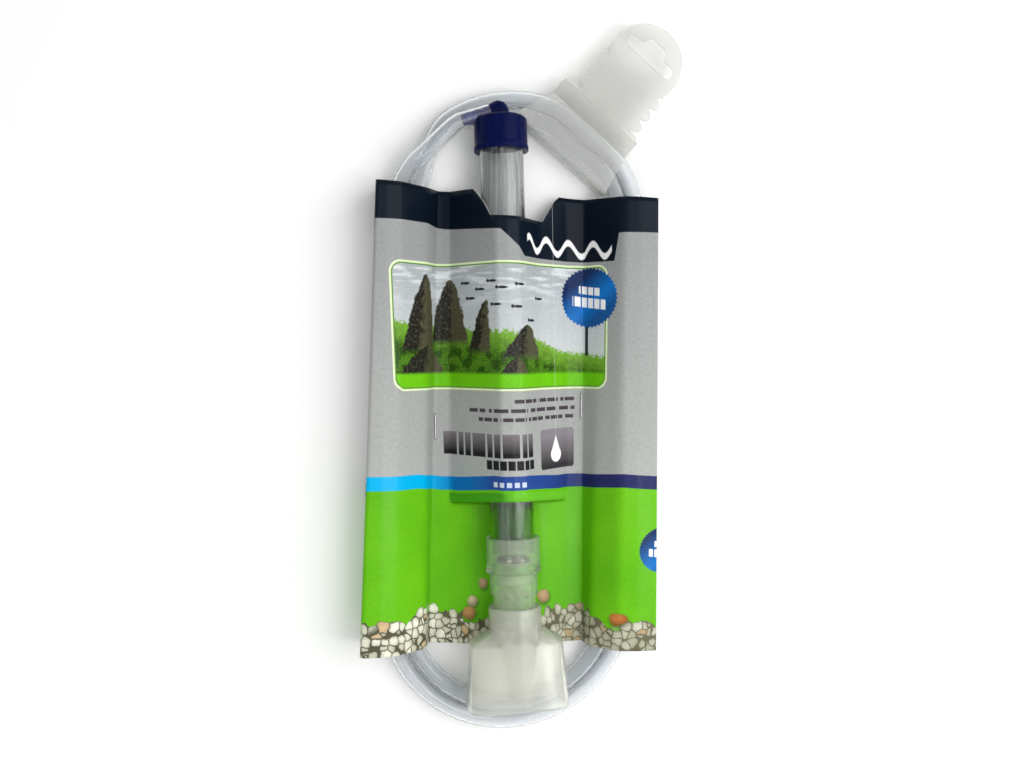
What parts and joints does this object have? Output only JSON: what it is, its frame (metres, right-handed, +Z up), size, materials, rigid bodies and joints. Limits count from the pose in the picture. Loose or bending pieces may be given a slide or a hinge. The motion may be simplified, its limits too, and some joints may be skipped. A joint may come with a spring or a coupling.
{
  "type": "gravel vacuum siphon",
  "caption": "Aquarium gravel vacuum siphon in a card sleeve: clear tube, hose cap, check valve, flared nozzle, coiled clear hose and hang tab.",
  "frame": {"origin": "centre of the pack's footprint without its hose, on the back face of the card sleeve", "axes": "+Y from the nozzle towards the cap, +Z up out of the front of the pack"},
  "size_m": [0.1514, 0.3302, 0.0317],
  "materials": {
    "clear_tube": "clear rigid acrylic with fine lengthwise draw lines",
    "clear_hose": "clear flexible vinyl",
    "milky_plastic": "translucent natural polypropylene",
    "navy_plastic": "moulded navy blue",
    "valve_rubber": "matt",
    "staple_steel": "bright drawn wire",
    "printed_card": "gloss printed card"
  },
  "bodies": {
    "pack": {"gravel_tube": "clear_tube", "tube_cap": "navy_plastic", "valve_collar": "milky_plastic", "valve_neck": "milky_plastic", "flap_pin": "staple_steel", "hose_coil": "clear_hose", "hose_start": "clear_hose", "tab_strap": "milky_plastic", "card_sleeve": "printed_card", "staple_left": "staple_steel", "staple_right": "staple_steel"},
    "nozzle_body": {"nozzle": "milky_plastic"},
    "flap_body": {"valve_flap": "valve_rubber"},
    "tab_body": {"hang_tab": "milky_plastic"}
  },
  "joints": [
    {"name": "nozzle_pull", "type": "slide", "parent": "pack", "child": "nozzle_body", "axis": [0.0253, -0.9993, 0.0279], "range_m": [0, 0.01]},
    {"name": "flap_hinge", "type": "hinge", "parent": "pack", "child": "flap_body", "pos_m": [-0.00605, -0.0892, 0.02602], "axis": [0.9997, 0.0253, 0], "range_deg": [0, 48]},
    {"name": "tab_swing", "type": "hinge", "parent": "pack", "child": "tab_body", "pos_m": [0.03225, 0.10919, 0.0098], "axis": [0.766, -0.6428, 0], "range_deg": [0, 85]}
  ]
}
